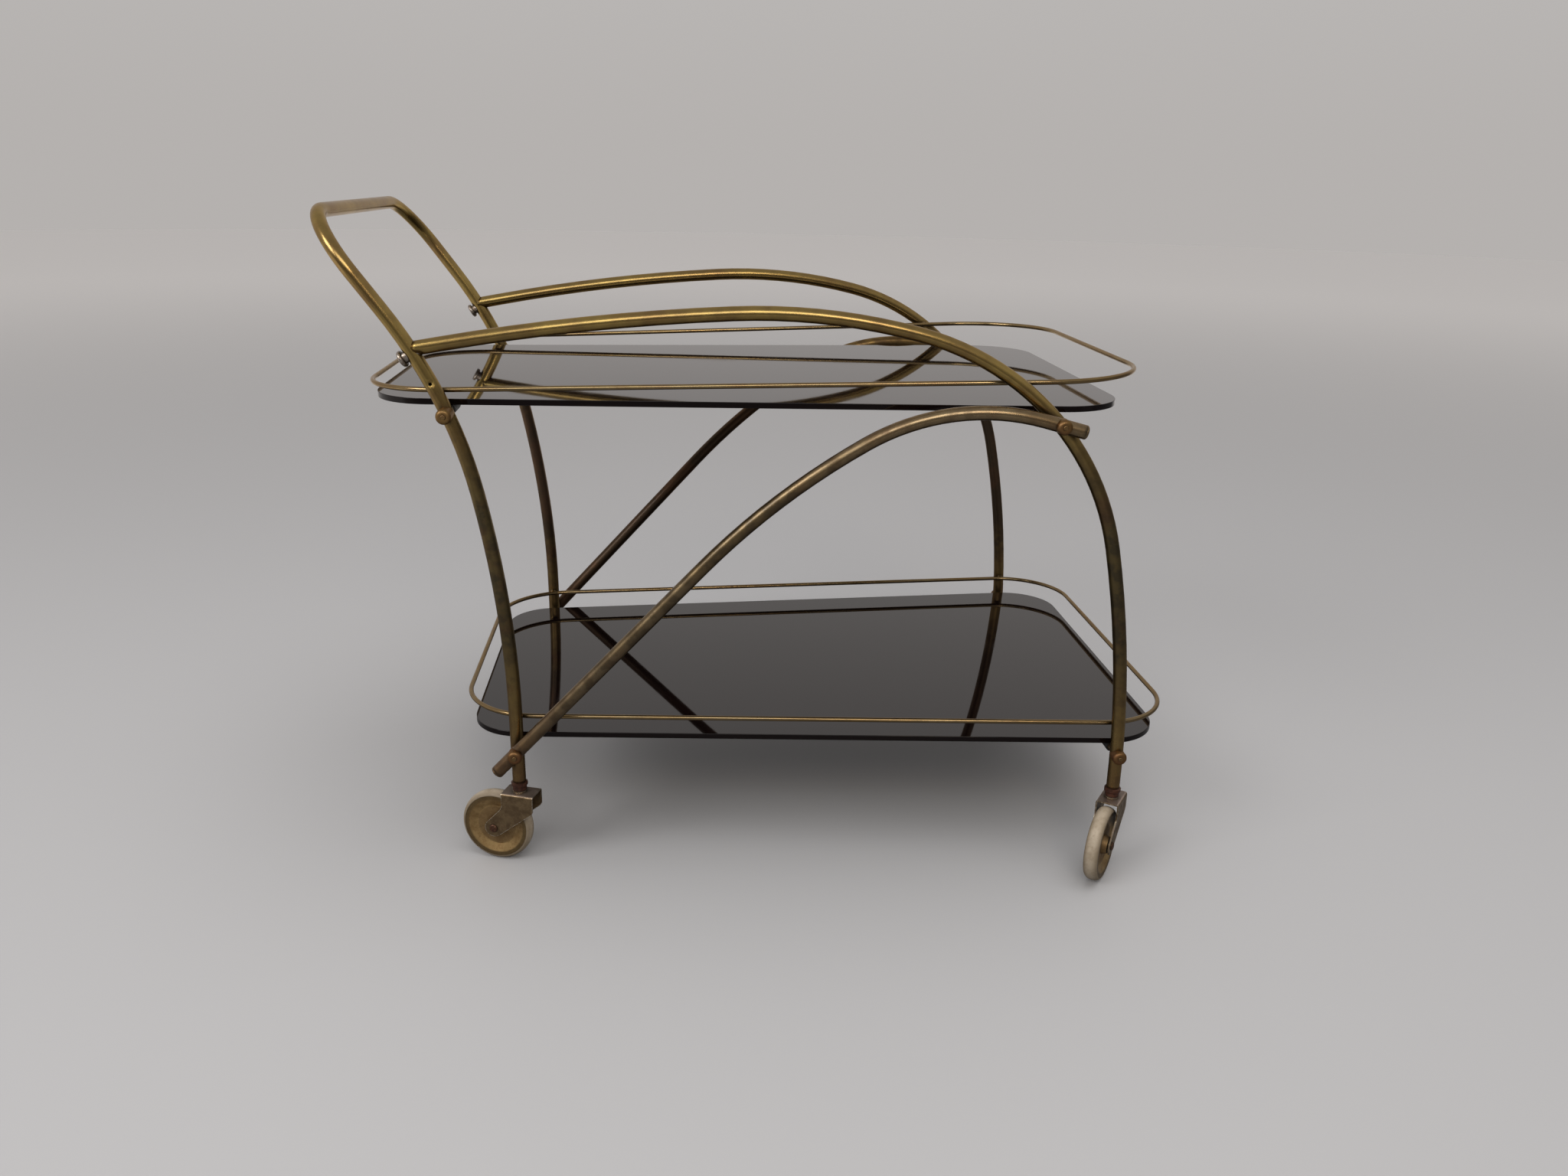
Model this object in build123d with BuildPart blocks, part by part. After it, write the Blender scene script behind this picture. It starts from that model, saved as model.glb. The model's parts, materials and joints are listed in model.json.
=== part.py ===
from build123d import *
from math import cos, radians, sin, tan
import os

# Sizes are in millimetres. The cart stands on z = 0 with its front toward +X,
# its push handle toward -X and its right-hand side toward -Y.

# Tube stock, hardware stock and fits
tube_radius = 7.0
bore_radius = 6.0
seat_gap = 0.03
shoulder_gap = 0.25
running_gap = 0.05
rod_radius = 3.5
spigot_radius = 2.5
spigot_hole_radius = 2.6
sleeve_radius = 5.28
sleeve_bore_radius = 3.55
sleeve_length = 30.0
sleeve_inset = 3.0

# Push handle and rear legs, one bent tube
rear_half_width = 207.5
rear_leg_x = -268.1
foot_z = 95.0
rear_straight_top = 171.5
lower_sweep_radius = 1187.0
lower_sweep_turn = 11.58
upper_sweep_radius = 458.0
upper_sweep_turn = 24.4
handle_straight = 104.0
handle_bend_radius = 65.0
vent_x = -328.5
vent_z = 518.0
vent_radius = 1.6

# Side rails, each running down into a front leg
front_half_width = 252.0
front_leg_x = 365.9
rail_splay = 3.62
front_straight_top = 101.1
rail_radii = (1192.0, 277.3, 606.8, 2195.0)
rail_turns = (12.64, 63.56, 16.91, 7.26)
rail_end_straight = 27.0

# Lugs under the rail ends and the screws that hold them to the handle tube
screw_turn = 18.3
lug_radius = 5.5
lug_reach = 12.5
lug_wall = 2.0
lug_round = 1.5
screw_collar_radius = 5.5
screw_collar_height = 2.2
screw_head_radius = 8.0
screw_head_height = 4.2
screw_head_round = 1.8
screw_slot_width = 1.6
screw_slot_depth = 1.8

# Diagonal braces, outside the legs and rails
brace_rear_half_width = 222.5
brace_splay = 4.08
brace_slope = 46.6
brace_tail = 28.5
brace_straight = 285.6
brace_radii = (751.0, 221.3)
brace_turns = (-15.4, -45.6)
brace_end_straight = 40.6
end_plug_radius = 5.95
end_plug_flange = 2.4
end_plug_depth = 8.0
end_plug_round = 2.0

# Cross rods that carry the two shelves, and the caps on their ends
upper_rod_z = 489.0
lower_rod_z = 134.2
upper_rear_x = -316.5
upper_front_x = 269.8
lower_rear_x = -268.1
lower_front_x = 365.4
cap_radius = 7.5
cap_heights = {"upper_rear": 14.0, "upper_front": 5.5, "lower_rear": 5.5, "lower_front": 7.0}
cap_round = 3.5
peened_end = 0.7
peened_round = 0.6
spacer_radius = 6.0

# Glass shelves
glass_thickness = 6.0
glass_lift = 1.8
glass_edge_bevel = 1.0
upper_glass_x = (-396.7, 354.7)
upper_glass_half_widths = (187.4, 224.3)
upper_glass_corners = (62.0, 68.0)
lower_glass_x = (-319.7, 425.3)
lower_glass_half_widths = (189.4, 242.0)
lower_glass_corners = (54.0, 60.0)

# Gallery wires above the shelves and the pins that join them to the tubes
wire_radius = 2.5
upper_gallery_z = 519.0
upper_gallery_tilt = 1.6
upper_gallery_x = (-404.8, 377.7)
upper_gallery_half_widths = (192.4, 242.5)
upper_gallery_corners = (92.0, 108.0)
lower_gallery_z = 165.9
lower_gallery_x = (-327.8, 436.0)
lower_gallery_half_widths = (193.1, 246.8)
lower_gallery_corners = (86.0, 80.0)
pin_radius = 1.8
pin_hole_radius = 1.9
upper_rear_pin_x = -325.2
upper_rear_pin_z = 509.96
upper_rear_wire_y = 197.2
upper_front_pin_x = 230.0
upper_front_pin_z = 525.47
upper_front_wire_y = 233.0
lower_rear_wire_y = 194.8
lower_front_pin_x = 364.1
lower_front_wire_y = 240.6

# Casters: stem, socket and yoke
wheel_radius = 40.0
caster_trail = 27.5
rear_caster_heading = 161.5
front_caster_heading = 235.5
stem_radius = 4.0
stem_top = 112.0
stem_tip = 1.0
stem_head_radius = 7.0
stem_head_height = 2.0
collar_radius = 7.5
collar_gap = 0.1
socket_base = 85.0
socket_top = 114.0
socket_radius = 7.5
socket_rim_radius = 8.7
socket_rim_height = 3.8
socket_rim_flare = 1.4
socket_spigot_radius = 5.85
socket_edge = 0.8
yoke_top = 83.0
yoke_sheet = 1.5
yoke_width = 24.5
yoke_front = -19.3
yoke_back = 16.8
yoke_bend_radius = 2.5
yoke_shoulder_z = 65.5
yoke_knee = (-19.0, 63.5)
yoke_knee_round = 7.0
yoke_shoulder_round = 12.0
axle_boss_radius = 10.0
boss_back_angle = 40.0
boss_front_angle = 232.0

# Casters: axle, bush, wheel and tyre
axle_radius = 3.0
axle_head_radius = 4.6
axle_head_height = 1.8
axle_head_round = 1.0
bush_radius = 5.0
bush_length = 20.6
hub_half_width = 9.0
hub_radius = 10.0
hub_draft = 1.0
web_half_width = 3.5
web_radius = 23.0
lip_radius = 31.5
rim_half_width = 7.2
rim_radius = 35.5
rim_sheet = 1.2
tyre_seat_radius = 29.0
tyre_seat_draft = 0.8
tyre_half_width = 7.6

os.makedirs("parts", exist_ok=True)


def save(builder, node):
    """Label a finished piece and write it to its own file."""
    builder.part.label = node
    export_step(builder.part, f"parts/{node}.step")


def upright_plane(x, y, turn):
    """Upright plane through (x, y): its x runs along the heading, its y runs up."""
    along = Vector(cos(radians(turn)), sin(radians(turn)), 0)
    return Plane(origin=(x, y, 0), x_dir=along, z_dir=along.cross(Vector(0, 0, 1)))


def round_bar(path, radius):
    """Solid round bar along a path."""
    with BuildPart() as bar:
        with BuildSketch(Plane(origin=path @ 0, z_dir=path % 0)):
            Circle(radius)
        sweep(path=path)
    return bar.part


def mirrored(half):
    """A right-hand half joined to its mirror image."""
    with BuildPart() as whole:
        add(half)
        mirror(about=Plane.XZ)
    return whole.part


def across(x, y, z, radius, length, mode):
    """Round bar or hole along Y, centred on (x, y, z)."""
    with Locations(Location((x, y, z), (90, 0, 0))):
        Cylinder(radius, length, mode=mode)


def rail_half_width(x):
    """Distance from the middle of the cart to a rail's centre line."""
    return front_half_width + (x - front_leg_x) * tan(radians(rail_splay))


def brace_half_width(x):
    """Distance from the middle of the cart to a brace's centre line."""
    return brace_rear_half_width + (x - lower_rear_x) * tan(radians(brace_splay))


# Centre line of the right half of the handle tube
with BuildLine(upright_plane(rear_leg_x, -rear_half_width, 0)) as leg_line:
    foot = Line((0, foot_z), (0, rear_straight_top))
    lower_sweep = JernArc(foot @ 1, foot % 1, lower_sweep_radius, lower_sweep_turn)
    upper_sweep = JernArc(lower_sweep @ 1, lower_sweep % 1, upper_sweep_radius, upper_sweep_turn)

handle_base = upper_sweep @ 1
handle_rise = upper_sweep % 1
handle_plane = Plane(
    origin=(handle_base.X, 0, handle_base.Z),
    x_dir=(0, 1, 0),
    z_dir=Vector(0, 1, 0).cross(handle_rise),
)
with BuildLine(handle_plane) as grip_line:
    FilletPolyline(
        (-rear_half_width, 0),
        (-rear_half_width, handle_straight),
        (0, handle_straight),
        radius=handle_bend_radius,
    )
handle_path = Wire([*leg_line.edges(), *grip_line.edges()])
handle_core = mirrored(round_bar(handle_path, tube_radius + seat_gap))


def rail_path(side):
    """Centre line of a side rail, from the front foot up and back to the handle tube."""
    plane = upright_plane(front_leg_x, side * front_half_width, side * rail_splay)
    with BuildLine(plane) as line:
        run = Line((0, foot_z), (0, front_straight_top))
        for radius, turn in zip(rail_radii, rail_turns):
            run = JernArc(run @ 1, run % 1, radius, turn)
        Line(run @ 1, run @ 1 + (run % 1) * rail_end_straight)
    return line.wire()


def brace_path(side):
    """Centre line of a brace, from its lower rear tail up to its front end."""
    plane = upright_plane(lower_rear_x, side * brace_rear_half_width, side * brace_splay)
    rise = (cos(radians(brace_slope)), sin(radians(brace_slope)))
    tail = (-brace_tail * rise[0], lower_rod_z - brace_tail * rise[1])
    knee = (brace_straight * rise[0], lower_rod_z + brace_straight * rise[1])
    with BuildLine(plane) as line:
        run = Line(tail, knee)
        for radius, turn in zip(brace_radii, brace_turns):
            run = JernArc(run @ 1, run % 1, radius, turn)
        Line(run @ 1, run @ 1 + (run % 1) * brace_end_straight)
    return line.wire()


def gallery_path(plane, ends, half_widths, corners):
    """Right half of a gallery loop, from the middle of the rear to the middle of the front."""
    with BuildLine(plane) as line:
        FilletPolyline(
            (ends[0], 0),
            (ends[0], -half_widths[0]),
            (ends[1], -half_widths[1]),
            (ends[1], 0),
            radius=corners,
        )
    return line.wire()


right, left = -1, 1
sides = {"right": right, "left": left}
rail_paths = {side: rail_path(side) for side in (right, left)}
brace_paths = {side: brace_path(side) for side in (right, left)}
tube_cores = [handle_core]
for path in (*rail_paths.values(), *brace_paths.values()):
    tube_cores.append(round_bar(path, tube_radius + seat_gap))

tilt = radians(upper_gallery_tilt)
upper_gallery_plane = Plane(
    origin=(0, 0, upper_gallery_z),
    x_dir=(cos(tilt), 0, sin(tilt)),
    z_dir=(-sin(tilt), 0, cos(tilt)),
)
lower_gallery_plane = Plane.XY.offset(lower_gallery_z)
gallery_paths = {
    "upper": gallery_path(
        upper_gallery_plane, upper_gallery_x, upper_gallery_half_widths, upper_gallery_corners
    ),
    "lower": gallery_path(
        lower_gallery_plane, lower_gallery_x, lower_gallery_half_widths, lower_gallery_corners
    ),
}

# Gallery pins: place, wire centre and the tube centre that each pin reaches
pin_stations = {
    "upper_rear": (upper_rear_pin_x, upper_rear_pin_z, upper_rear_wire_y, rear_half_width),
    "upper_front": (
        upper_front_pin_x, upper_front_pin_z, upper_front_wire_y, rail_half_width(upper_front_pin_x)
    ),
    "lower_rear": (rear_leg_x, lower_gallery_z, lower_rear_wire_y, rear_half_width),
    "lower_front": (
        lower_front_pin_x, lower_gallery_z, lower_front_wire_y, rail_half_width(lower_front_pin_x)
    ),
}

# Rail screws: square to the handle tube, just below the line of each rail
screw_place = screw_turn / upper_sweep_turn
tube_rise = upper_sweep % screw_place
rail_run = rail_paths[right] % 1
right_screw_point = upper_sweep @ screw_place
right_screw_axis = (rail_run - tube_rise * rail_run.dot(tube_rise)).normalized()
screw_planes = {
    side: Plane(
        origin=(right_screw_point.X, -side * right_screw_point.Y, right_screw_point.Z),
        x_dir=(tube_rise.X, -side * tube_rise.Y, tube_rise.Z),
        z_dir=(right_screw_axis.X, -side * right_screw_axis.Y, right_screw_axis.Z),
    )
    for side in (right, left)
}

# Handle with both rear legs, drilled for rods, gallery pins and rail screws
with BuildPart() as handle:
    with BuildSketch(Plane(origin=handle_path @ 0, z_dir=handle_path % 0)):
        Circle(tube_radius)
        Circle(bore_radius, mode=Mode.SUBTRACT)
    sweep(path=handle_path)
    mirror(about=Plane.XZ)
    across(upper_rear_x, 0, upper_rod_z, spigot_hole_radius, 3 * rear_half_width, Mode.SUBTRACT)
    across(lower_rear_x, 0, lower_rod_z, spigot_hole_radius, 3 * rear_half_width, Mode.SUBTRACT)
    for station in ("upper_rear", "lower_rear"):
        x, z, wire, tube = pin_stations[station]
        across(x, 0, z, pin_hole_radius, 2 * tube, Mode.SUBTRACT)
    for side in (right, left):
        vent_y = side * (rear_half_width + tube_radius)
        across(vent_x, vent_y, vent_z, vent_radius, 2 * tube_radius, Mode.SUBTRACT)
        with Locations(screw_planes[side].location):
            Cylinder(spigot_hole_radius, 3 * tube_radius, mode=Mode.SUBTRACT)
save(handle, "handle_and_rear_legs")

# Side rails, their lugs and the screws through the handle tube
for name, side in sides.items():
    path = rail_paths[side]
    with BuildPart() as rail:
        with BuildSketch(Plane(origin=path @ 0, z_dir=path % 0)):
            Circle(tube_radius)
            Circle(bore_radius, mode=Mode.SUBTRACT)
        sweep(path=path)
        add(handle_core, mode=Mode.SUBTRACT)
        with BuildSketch(screw_planes[side]):
            Circle(lug_radius + seat_gap)
        extrude(amount=-lug_reach - seat_gap, mode=Mode.SUBTRACT)
        across(upper_front_x, 0, upper_rod_z, spigot_hole_radius, 3 * front_half_width, Mode.SUBTRACT)
        across(lower_front_x, 0, lower_rod_z, spigot_hole_radius, 3 * front_half_width, Mode.SUBTRACT)
        for station in ("upper_front", "lower_front"):
            x, z, wire, tube = pin_stations[station]
            across(x, 0, z, pin_hole_radius, 2 * tube, Mode.SUBTRACT)
    save(rail, f"{name}_rail_and_front_leg")

    screw_plane = screw_planes[side]
    screw_depth = lug_reach - lug_wall
    with BuildPart() as lug:
        with BuildSketch(screw_plane):
            Circle(lug_radius)
        extrude(amount=-lug_reach)
        with BuildSketch(screw_plane):
            Circle(spigot_radius + running_gap)
        extrude(amount=-screw_depth, mode=Mode.SUBTRACT)
        add(handle_core, mode=Mode.SUBTRACT)
        fillet(lug.faces().sort_by(Axis.X)[-1].edges(), lug_round)
    save(lug, f"{name}_rail_plug")

    collar_top = tube_radius + screw_collar_height
    head_top = collar_top + screw_head_height
    with BuildPart() as screw:
        with BuildSketch(screw_plane):
            Circle(screw_collar_radius)
        extrude(amount=collar_top)
        add(handle_core, mode=Mode.SUBTRACT)
        with BuildSketch(screw_plane.offset(collar_top)):
            Circle(screw_head_radius)
        head = extrude(amount=screw_head_height)
        fillet(head.edges().filter_by(GeomType.CIRCLE), screw_head_round)
        with BuildSketch(screw_plane.offset(head_top - screw_slot_depth)):
            Rectangle(3 * screw_head_radius, screw_slot_width)
        extrude(amount=screw_slot_depth, mode=Mode.SUBTRACT)
        with BuildSketch(screw_plane.offset(running_gap - screw_depth)):
            Circle(spigot_radius)
        extrude(amount=screw_depth + collar_top)
    save(screw, f"{name}_rail_screw")

# Braces and the plugs in their open ends
for name, side in sides.items():
    path = brace_paths[side]
    with BuildPart() as brace:
        with BuildSketch(Plane(origin=path @ 0, z_dir=path % 0)):
            Circle(tube_radius)
            Circle(bore_radius, mode=Mode.SUBTRACT)
        sweep(path=path)
        across(upper_front_x, 0, upper_rod_z, spigot_hole_radius, 3 * front_half_width, Mode.SUBTRACT)
        across(lower_rear_x, 0, lower_rod_z, spigot_hole_radius, 3 * front_half_width, Mode.SUBTRACT)
    save(brace, f"{name}_brace")

    with BuildPart() as end_plugs:
        for end, outward in ((path @ 0, -(path % 0)), (path @ 1, path % 1)):
            end_plane = Plane(origin=end, z_dir=outward)
            with BuildSketch(end_plane):
                Circle(tube_radius)
            extrude(amount=end_plug_flange)
            with BuildSketch(end_plane):
                Circle(end_plug_radius)
            extrude(amount=-end_plug_depth)
        for end, outward in ((path @ 0, -(path % 0)), (path @ 1, path % 1)):
            outer_face = end_plugs.faces().sort_by_distance(end + outward * end_plug_flange)[0]
            fillet(outer_face.edges(), end_plug_round)
    save(end_plugs, f"{name}_brace_end_plugs")

# Cross rods: place, shoulder and the outer end of the spigots
rod_shoulder = tube_radius + shoulder_gap
rod_stations = {
    "upper_rear": (upper_rear_x, upper_rod_z, rear_half_width, rear_half_width),
    "upper_front": (
        upper_front_x, upper_rod_z, rail_half_width(upper_front_x), brace_half_width(upper_front_x)
    ),
    "lower_rear": (lower_rear_x, lower_rod_z, rear_half_width, brace_half_width(lower_rear_x)),
    "lower_front": (
        lower_front_x, lower_rod_z, rail_half_width(lower_front_x), rail_half_width(lower_front_x)
    ),
}
for name, (x, z, inner_tube, outer_tube) in rod_stations.items():
    rod_end = outer_tube + tube_radius + cap_heights[name] + peened_end
    with BuildPart() as rod:
        across(x, 0, z, rod_radius, 2 * (inner_tube - rod_shoulder), Mode.ADD)
        across(x, 0, z, spigot_radius, 2 * rod_end, Mode.ADD)
        end_faces = rod.faces().sort_by(Axis.Y)
        fillet([*end_faces[0].edges(), *end_faces[-1].edges()], peened_round)
    save(rod, f"{name}_cross_rod")

# Domed caps under the peened rod ends and the shaped spacers behind the braces
for name, (x, z, inner_tube, outer_tube) in rod_stations.items():
    braced = outer_tube > inner_tube
    with BuildPart() as caps:
        for side in (right, left):
            outward = Plane(origin=(x, side * outer_tube, z), x_dir=(1, 0, 0), z_dir=(0, side, 0))
            with BuildSketch(outward):
                Circle(cap_radius)
            extrude(amount=tube_radius + cap_heights[name])
            fillet(caps.faces().sort_by(Axis.Y)[0 if side < 0 else -1].edges(), cap_round)
        across(x, 0, z, spigot_radius + running_gap, 3 * outer_tube, Mode.SUBTRACT)
        for core in tube_cores:
            add(core, mode=Mode.SUBTRACT)
    save(caps, f"{name}_cap_nuts")

    if braced:
        with BuildPart() as spacers:
            for side in (right, left):
                middle = side * (inner_tube + outer_tube) / 2
                across(x, middle, z, spacer_radius, outer_tube - inner_tube, Mode.ADD)
            across(x, 0, z, spigot_hole_radius, 3 * outer_tube, Mode.SUBTRACT)
            for core in tube_cores:
                add(core, mode=Mode.SUBTRACT)
        save(spacers, f"{name}_brace_spacers")

# Glass shelves with rounded corners and polished edges
shelves = {
    "upper": (upper_rod_z, upper_glass_x, upper_glass_half_widths, upper_glass_corners),
    "lower": (lower_rod_z, lower_glass_x, lower_glass_half_widths, lower_glass_corners),
}
for level, (rod_z, ends, half_widths, corners) in shelves.items():
    with BuildPart() as glass:
        with BuildSketch(Plane.XY.offset(rod_z + rod_radius + glass_lift)) as outline:
            Polygon(
                (ends[0], -half_widths[0]),
                (ends[1], -half_widths[1]),
                (ends[1], half_widths[1]),
                (ends[0], half_widths[0]),
                align=None,
            )
            fillet(outline.vertices().group_by(Axis.X)[0], corners[0])
            fillet(outline.vertices().group_by(Axis.X)[-1], corners[1])
        extrude(amount=glass_thickness)
        faces_up_down = glass.faces().filter_by(Axis.Z)
        chamfer(faces_up_down.edges(), glass_edge_bevel)
    save(glass, f"{level}_glass_shelf")

# Rubber sleeves on the rods, just inside the glass edges
for level, (rod_z, ends, half_widths, corners) in shelves.items():
    widening = (half_widths[1] - half_widths[0]) / (ends[1] - ends[0])
    with BuildPart() as sleeves:
        for place in ("rear", "front"):
            x = rod_stations[f"{level}_{place}"][0]
            glass_edge = half_widths[0] + widening * (x - ends[0])
            middle = glass_edge - sleeve_inset - sleeve_length / 2
            for side in (right, left):
                across(x, side * middle, rod_z, sleeve_radius, sleeve_length, Mode.ADD)
                across(x, side * middle, rod_z, sleeve_bore_radius, sleeve_length, Mode.SUBTRACT)
    save(sleeves, f"{level}_shelf_sleeves")

# Gallery wires and the pins that join them to the tubes
for level, path in gallery_paths.items():
    with BuildPart() as gallery:
        add(mirrored(round_bar(path, wire_radius)))
    save(gallery, f"{level}_gallery")

    wire_core = mirrored(round_bar(path, wire_radius + seat_gap))
    with BuildPart() as pins:
        for place in ("rear", "front"):
            x, z, wire, tube = pin_stations[f"{level}_{place}"]
            for side in (right, left):
                across(x, side * (wire + tube) / 2, z, pin_radius, tube - wire, Mode.ADD)
        add(wire_core, mode=Mode.SUBTRACT)
    save(pins, f"{level}_gallery_pins")


def boss_point(angle):
    """Point on the rim of the round boss at the axle end of a yoke cheek."""
    reach = axle_boss_radius * cos(radians(angle))
    rise = axle_boss_radius * sin(radians(angle))
    return (caster_trail + reach, wheel_radius + rise)


def caster(name, x, y, heading):
    """One swivel caster: socket, stem, yoke, axle, bush, wheel and tyre."""
    upright = upright_plane(x, y, heading)
    trail = upright.x_dir
    swivel_axis = Axis((x, y, 0), (0, 0, 1))
    centre = upright.from_local_coords((caster_trail, wheel_radius))
    section = Plane(origin=centre, x_dir=trail.cross(Vector(0, 0, 1)), z_dir=Vector(0, 0, 0) - trail)
    axle_axis = Axis(centre, section.x_dir)
    mid_plane = Plane(origin=centre, z_dir=section.x_dir)

    with BuildPart() as socket:
        with BuildSketch(upright):
            with BuildLine():
                Polyline(
                    (stem_radius + running_gap, socket_base),
                    (socket_radius - socket_edge, socket_base),
                    (socket_radius, socket_base + socket_edge),
                    (socket_radius, foot_z - socket_rim_height - socket_rim_flare),
                    (socket_rim_radius, foot_z - socket_rim_height),
                    (socket_rim_radius, foot_z - socket_edge),
                    (tube_radius, foot_z),
                    (socket_spigot_radius, foot_z),
                    (socket_spigot_radius, socket_top),
                    (stem_radius + running_gap, socket_top),
                    close=True,
                )
            make_face()
        revolve(axis=swivel_axis)
    save(socket, f"{name}_caster_socket")

    plate_bottom = yoke_top - yoke_sheet
    with BuildPart() as stem:
        with BuildSketch(upright):
            with BuildLine():
                Polyline(
                    (0, plate_bottom - stem_head_height),
                    (stem_head_radius - stem_tip, plate_bottom - stem_head_height),
                    (stem_head_radius, plate_bottom - seat_gap),
                    (stem_radius, plate_bottom - seat_gap),
                    (stem_radius, yoke_top + seat_gap),
                    (collar_radius, yoke_top + seat_gap),
                    (collar_radius, socket_base - collar_gap),
                    (stem_radius, socket_base - collar_gap),
                    (stem_radius, stem_top - stem_tip),
                    (stem_radius - stem_tip, stem_top),
                    (0, stem_top),
                    close=True,
                )
            make_face()
        revolve(axis=swivel_axis)
    save(stem, f"{name}_caster_stem")

    with BuildPart() as yoke:
        with BuildSketch(upright) as cheek:
            Polygon(
                (yoke_front, yoke_top),
                yoke_knee,
                boss_point(boss_front_angle),
                boss_point(boss_back_angle),
                (yoke_back, yoke_shoulder_z),
                (yoke_back, yoke_top),
                align=None,
            )
            with Locations((caster_trail, wheel_radius)):
                Circle(axle_boss_radius)
            shoulder = cheek.vertices().sort_by_distance((yoke_back, yoke_shoulder_z))[0]
            fillet(shoulder, yoke_shoulder_round)
            knee = cheek.vertices().sort_by_distance(yoke_knee)[0]
            fillet(knee, yoke_knee_round)
        extrude(amount=yoke_width / 2, both=True)
        with BuildSketch(upright):
            Rectangle(6 * wheel_radius, plate_bottom, align=(Align.CENTER, Align.MIN))
        extrude(amount=yoke_width / 2 - yoke_sheet, both=True, mode=Mode.SUBTRACT)
        top_bends = yoke.edges().filter_by(Axis((0, 0, 0), trail)).group_by(Axis.Z)[-1]
        fillet(top_bends, yoke_bend_radius)
        with BuildSketch(upright):
            with Locations((caster_trail, wheel_radius)):
                Circle(axle_radius + seat_gap)
        extrude(amount=yoke_width, both=True, mode=Mode.SUBTRACT)
        with BuildSketch(Plane(origin=(x, y, yoke_top), z_dir=(0, 0, 1))):
            Circle(stem_radius + seat_gap)
        extrude(amount=2 * yoke_sheet, both=True, mode=Mode.SUBTRACT)
    save(yoke, f"{name}_caster_yoke")

    head_seat = yoke_width / 2 + seat_gap
    with BuildPart() as axle:
        with BuildSketch(section):
            with BuildLine():
                Polyline(
                    (0, axle_radius),
                    (head_seat, axle_radius),
                    (head_seat, axle_head_radius),
                    (head_seat + axle_head_height - axle_head_round, axle_head_radius),
                    (head_seat + axle_head_height, axle_head_radius - axle_head_round),
                    (head_seat + axle_head_height, 0),
                    (0, 0),
                    close=True,
                )
            make_face()
        revolve(axis=axle_axis)
        mirror(about=mid_plane)
    save(axle, f"{name}_caster_axle")

    with BuildPart() as bush:
        with BuildSketch(section):
            with Locations((0, axle_radius + running_gap)):
                Rectangle(
                    bush_length,
                    bush_radius - axle_radius - running_gap,
                    align=(Align.CENTER, Align.MIN),
                )
        revolve(axis=axle_axis)
    save(bush, f"{name}_caster_bush")

    rim_inside = rim_half_width - rim_sheet
    with BuildPart() as wheel:
        with BuildSketch(section):
            with BuildLine():
                Polyline(
                    (0, bush_radius + seat_gap),
                    (hub_half_width, bush_radius + seat_gap),
                    (hub_half_width, hub_radius - hub_draft),
                    (web_half_width, hub_radius + hub_draft),
                    (web_half_width, web_radius),
                    (rim_half_width, lip_radius),
                    (rim_half_width, rim_radius),
                    (rim_inside, rim_radius),
                    (rim_inside - tyre_seat_draft, tyre_seat_radius),
                    (0, tyre_seat_radius),
                    close=True,
                )
            make_face()
        revolve(axis=axle_axis)
        mirror(about=mid_plane)
    save(wheel, f"{name}_caster_wheel")

    tyre_bead = rim_radius + seat_gap
    with BuildPart() as tyre:
        with BuildSketch(section):
            with BuildLine():
                Polyline(
                    (0, wheel_radius),
                    (0, tyre_seat_radius + seat_gap),
                    (rim_inside - tyre_seat_draft - seat_gap, tyre_seat_radius + seat_gap),
                    (rim_inside - seat_gap, tyre_bead),
                    (tyre_half_width, tyre_bead),
                )
                EllipticalCenterArc((0, tyre_bead), tyre_half_width, wheel_radius - tyre_bead, arc_size=90)
            make_face()
        revolve(axis=axle_axis)
        mirror(about=mid_plane)
    save(tyre, f"{name}_caster_tyre")


for name, side in sides.items():
    caster(f"{name}_rear", rear_leg_x, side * rear_half_width, -side * rear_caster_heading)
    caster(f"{name}_front", front_leg_x, side * front_half_width, -side * front_caster_heading)
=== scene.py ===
import json
from math import cos, hypot, pi, radians, sin, tan

import bmesh
import bpy
from mathutils import Matrix, Vector


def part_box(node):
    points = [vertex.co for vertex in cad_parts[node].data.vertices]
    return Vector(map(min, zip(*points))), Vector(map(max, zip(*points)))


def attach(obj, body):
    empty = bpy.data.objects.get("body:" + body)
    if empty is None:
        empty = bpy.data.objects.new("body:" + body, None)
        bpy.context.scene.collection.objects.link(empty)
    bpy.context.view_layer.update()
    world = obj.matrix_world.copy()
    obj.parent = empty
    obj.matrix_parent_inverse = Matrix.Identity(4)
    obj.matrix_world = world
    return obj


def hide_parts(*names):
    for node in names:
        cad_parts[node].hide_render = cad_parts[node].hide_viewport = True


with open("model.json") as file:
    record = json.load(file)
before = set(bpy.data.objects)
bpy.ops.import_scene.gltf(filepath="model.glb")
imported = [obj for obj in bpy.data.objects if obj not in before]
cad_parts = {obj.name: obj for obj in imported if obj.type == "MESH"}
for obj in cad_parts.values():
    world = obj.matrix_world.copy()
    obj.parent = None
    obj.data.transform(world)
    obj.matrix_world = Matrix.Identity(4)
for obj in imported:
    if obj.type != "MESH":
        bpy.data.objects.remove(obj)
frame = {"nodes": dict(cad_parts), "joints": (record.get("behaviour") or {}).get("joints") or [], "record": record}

scene = bpy.context.scene
nodes = frame["nodes"]
record = frame["record"]
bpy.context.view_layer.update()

# Camera: where the photograph was taken from, in metres and degrees, and its lens in millimetres
CAMERA_POS = (-0.0955, -1.3780, 0.7135)
CAMERA_YAW = 5.185
CAMERA_PITCH = 18.983
CAMERA_ROLL = 1.144
CAMERA_LENS = 27.77
SENSOR_WIDTH = 36
CLIP_START = 0.01

# Direction away from the dim side of the studio, which lies toward the camera and the cart's front end
AWAY = (-0.6, 1.0, 0.0)

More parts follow.
